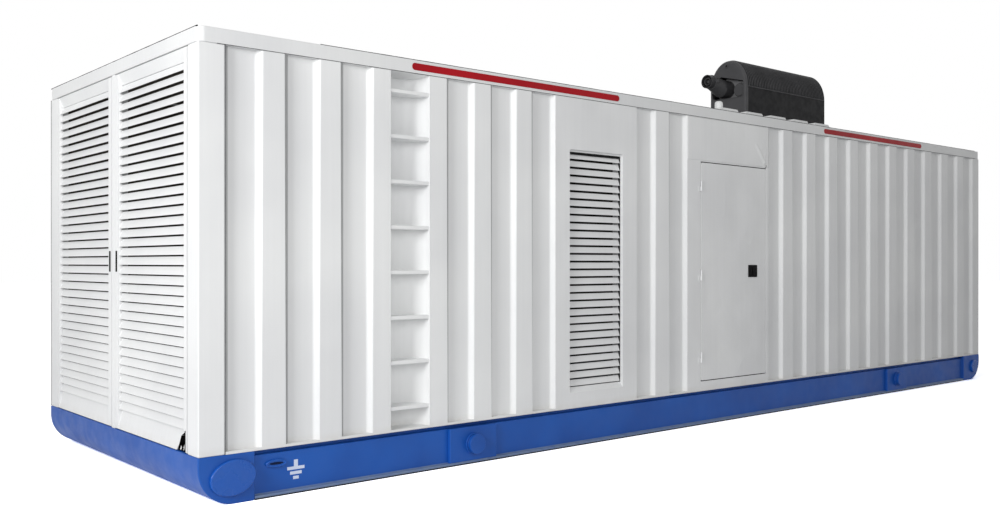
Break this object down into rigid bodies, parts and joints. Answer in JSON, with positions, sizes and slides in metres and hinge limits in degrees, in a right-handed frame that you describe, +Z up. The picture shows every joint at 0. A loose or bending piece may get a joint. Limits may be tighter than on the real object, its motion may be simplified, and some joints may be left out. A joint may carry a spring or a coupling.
{
  "type": "containerised soundproof diesel generator set",
  "caption": "Soundproof walk-in enclosure on a steel base with a personnel door, a louvred double door end and a roof silencer.",
  "frame": {"origin": "centre of the footprint on the ground, under the middle of the base", "axes": "+X along the long side from the louvred door end to the far end, +Y from the door side to the plain side, +Z up"},
  "size_m": [8.78, 2.526, 3.24],
  "materials": {
    "white_paint": "satin powder-coated sheet steel",
    "door_paint": "satin powder-coated sheet steel, flat panels",
    "base_blue": "semi-gloss enamel on fabricated steel",
    "marker_red": "gloss enamel strip",
    "black_plastic": "moulded, matte",
    "silencer_black": "heat-resisting satin black paint",
    "silencer_plate": "heat-resisting dark grey paint",
    "deck_steel": "dark grey painted deck plate",
    "pin_steel": "plain turned steel"
  },
  "bodies": {
    "enclosure": {"base_near_end": "base_blue", "base_far_end": "base_blue", "base_side_rails": "base_blue", "base_crossmembers": "base_blue", "base_end_bosses": "base_blue", "lifting_plates": "base_blue", "lifting_bollards": "base_blue", "floor_deck": "deck_steel", "earth_boss": "base_blue", "corner_posts": "white_paint", "door_side_wall_1": "white_paint", "door_side_wall_2": "white_paint", "door_side_wall_3": "white_paint", "door_side_wall_4": "white_paint", "ladder_channel": "white_paint", "ladder_rungs": "white_paint", "louvre_panels": "door_paint", "side_louvres": "white_paint", "doorway_jambs": "door_paint", "doorway_head_and_sill": "door_paint", "back_walls": "white_paint", "jamb_hinge_leaves": "door_paint", "end_door_pivots": "pin_steel", "end_mullion": "white_paint", "far_end_frame": "white_paint", "far_end_louvres": "white_paint", "top_side_rails": "white_paint", "top_end_rails": "white_paint", "roof_sheet": "white_paint", "marker_strips": "marker_red", "roof_vent": "white_paint", "silencer_body": "silencer_black", "silencer_front": "silencer_plate", "silencer_outlet": "silencer_black", "silencer_stub": "silencer_black", "silencer_feet": "silencer_black"},
    "side_door": {"side_door_leaf": "door_paint", "side_door_latch": "black_plastic", "side_door_hinge_leaves": "door_paint"},
    "end_door_right": {"end_door_right_frame": "white_paint", "end_door_right_louvre": "white_paint", "end_door_right_handle": "black_plastic"},
    "end_door_left": {"end_door_left_frame": "white_paint", "end_door_left_louvre": "white_paint", "end_door_left_handle": "black_plastic"}
  },
  "joints": [
    {"name": "side_door_hinge", "type": "hinge", "parent": "enclosure", "child": "side_door", "pos_m": [-0.371, -1.22, 1.145], "axis": [0, 0, -1], "range_deg": [0, 110]},
    {"name": "end_door_right_hinge", "type": "hinge", "parent": "enclosure", "child": "end_door_right", "pos_m": [-4.37, -1.049, 1.3], "axis": [0, 0, 1], "range_deg": [0, 110]},
    {"name": "end_door_left_hinge", "type": "hinge", "parent": "enclosure", "child": "end_door_left", "pos_m": [-4.37, 1.049, 1.3], "axis": [0, 0, -1], "range_deg": [0, 110]}
  ]
}
